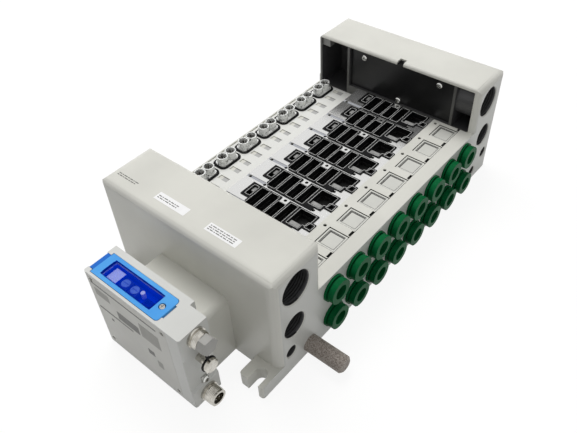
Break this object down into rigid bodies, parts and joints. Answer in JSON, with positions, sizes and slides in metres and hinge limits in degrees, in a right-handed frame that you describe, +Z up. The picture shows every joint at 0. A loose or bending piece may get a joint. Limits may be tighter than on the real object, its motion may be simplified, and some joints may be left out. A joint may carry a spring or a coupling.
{
  "type": "pneumatic valve island",
  "caption": "Manifold base of a valve island: gasketed valve faces in a row between two cast end blocks with threaded ports, and a serial interface unit with a hinged cover.",
  "frame": {"origin": "centre of the underside between the outer faces of the two end blocks", "axes": "X across the manifold towards the port side, Y along the stack from the supply end to the blind end, Z up"},
  "size_m": [0.187, 0.3358, 0.0965],
  "materials": {
    "casting": "satin grey-white paint on cast aluminium",
    "gasket_rubber": "matt black moulded rubber",
    "pale_plastic": "pale translucent plastic",
    "green_plastic": "dark green glossy plastic",
    "contact_metal": "dull contact metal",
    "clip_plastic": "satin grey-white",
    "black_plastic": "glossy black",
    "screw_steel": "bright zinc",
    "sintered_metal": "rough sintered bronze, brown-grey",
    "unit_plastic": "satin grey-white",
    "plate_plastic": "matt grey",
    "blue_cover": "light blue, clear dark blue window",
    "bright_metal": "nickel",
    "board": "circuit board",
    "switch_plastic": "grey-blue",
    "dial_plastic": "white",
    "cap_plastic": "grey"
  },
  "bodies": {
    "base": {"station_block_1": "casting", "station_block_2": "casting", "station_block_3": "casting", "station_block_4": "casting", "station_block_5": "casting", "station_block_6": "casting", "station_block_7": "casting", "station_block_8": "casting", "valve_gasket_1": "gasket_rubber", "valve_gasket_2": "gasket_rubber", "valve_gasket_3": "gasket_rubber", "valve_gasket_4": "gasket_rubber", "valve_gasket_5": "gasket_rubber", "valve_gasket_6": "gasket_rubber", "valve_gasket_7": "gasket_rubber", "valve_gasket_8": "gasket_rubber", "connector_1": "pale_plastic", "connector_2": "pale_plastic", "connector_3": "pale_plastic", "connector_4": "pale_plastic", "connector_5": "pale_plastic", "connector_6": "pale_plastic", "connector_7": "pale_plastic", "connector_8": "pale_plastic", "port_plugs_1": "green_plastic", "port_plugs_2": "green_plastic", "port_plugs_3": "green_plastic", "port_plugs_4": "green_plastic", "port_plugs_5": "green_plastic", "port_plugs_6": "green_plastic", "port_plugs_7": "green_plastic", "port_plugs_8": "green_plastic", "connector_pins": "contact_metal", "connector_seals": "gasket_rubber", "fitting_clips": "clip_plastic", "station_seals": "gasket_rubber", "supply_end_block": "casting", "blind_end_block": "casting", "cover_panel": "black_plastic", "panel_screws": "screw_steel", "tie_bolts": "screw_steel", "silencer": "sintered_metal", "unit_adapter": "casting", "unit_housing": "unit_plastic", "unit_front_plate": "plate_plastic", "front_plate_screws": "screw_steel", "cover_hinge_pin": "screw_steel", "circuit_board": "board", "rotary_switches": "switch_plastic", "board_socket": "black_plastic", "bus_connector": "bright_metal", "bus_seal_cap": "cap_plastic", "cap_strap": "gasket_rubber", "aux_connector": "bright_metal", "power_connector": "bright_metal", "earth_screw": "screw_steel"},
    "cover": {"display_cover": "blue_cover", "cover_screw": "bright_metal"},
    "dial_1": {"switch_dial_1": "dial_plastic"},
    "dial_2": {"switch_dial_2": "dial_plastic"}
  },
  "joints": [
    {"name": "cover_hinge", "type": "hinge", "parent": "base", "child": "cover", "pos_m": [-0.0364, -0.18085, 0.0736], "axis": [0, -1, 0], "range_deg": [0, 110]},
    {"name": "dial_1_turn", "type": "hinge", "parent": "base", "child": "dial_1", "pos_m": [-0.0119, -0.18085, 0.0697], "axis": [0, 0, 1], "continuous": true},
    {"name": "dial_2_turn", "type": "hinge", "parent": "base", "child": "dial_2", "pos_m": [-0.0033, -0.18085, 0.0697], "axis": [0, 0, 1], "continuous": true}
  ]
}
